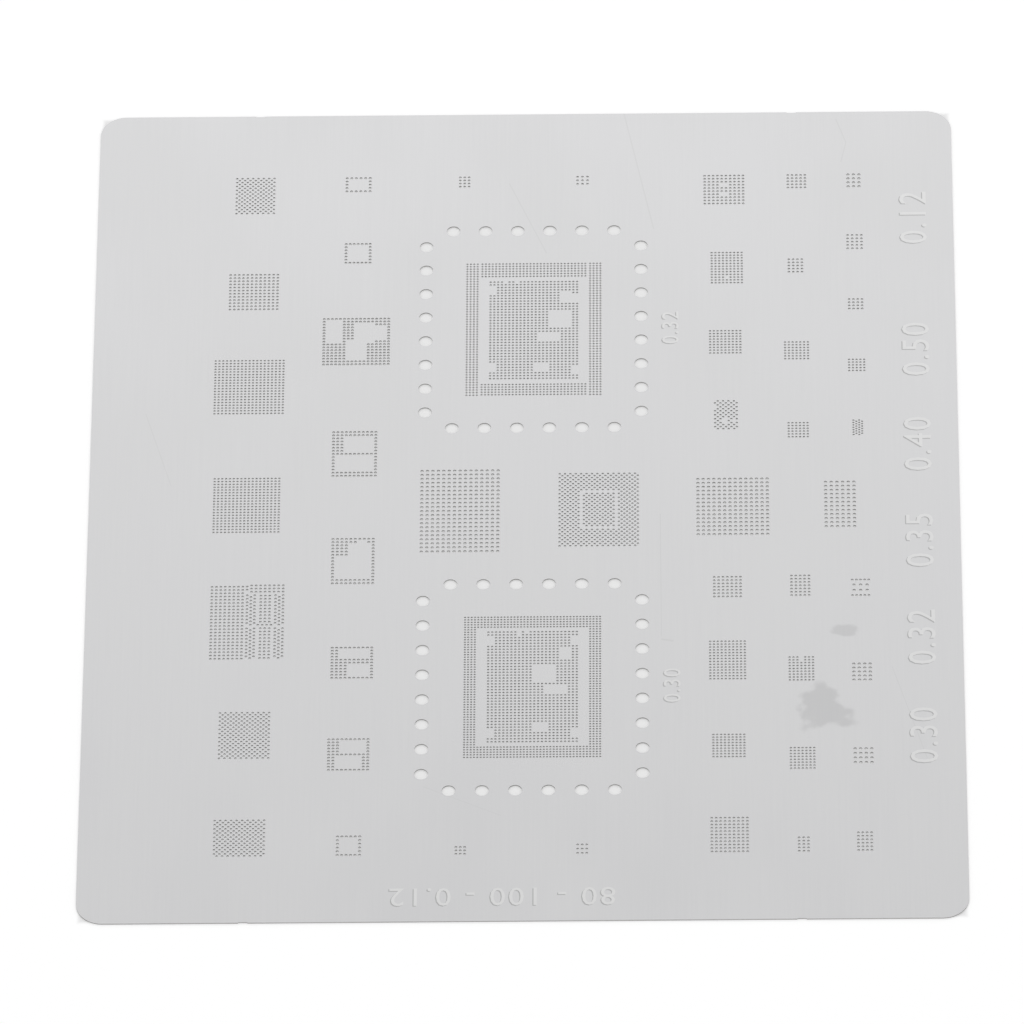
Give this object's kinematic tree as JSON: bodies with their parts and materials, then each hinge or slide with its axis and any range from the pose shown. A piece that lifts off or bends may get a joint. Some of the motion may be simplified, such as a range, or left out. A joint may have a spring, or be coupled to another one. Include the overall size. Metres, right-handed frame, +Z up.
{
  "type": "solder paste stencil",
  "caption": "Thin stainless sheet with rounded corners, dozens of fine laser-cut aperture patterns, and two arrays ringed with relief holes.",
  "frame": {"origin": "middle of the underside", "axes": "+X across the sheet's short side to the right, +Y along its long side to the far edge, +Z up out of the printed side"},
  "size_m": [0.08, 0.1, 0.0001],
  "materials": {
    "steel_sheet": "rolled stainless foil with a soft satin sheen, light scratches and a small grey stain"
  },
  "bodies": {
    "root": {"stencil_sheet": "steel_sheet"}
  },
  "joints": []
}
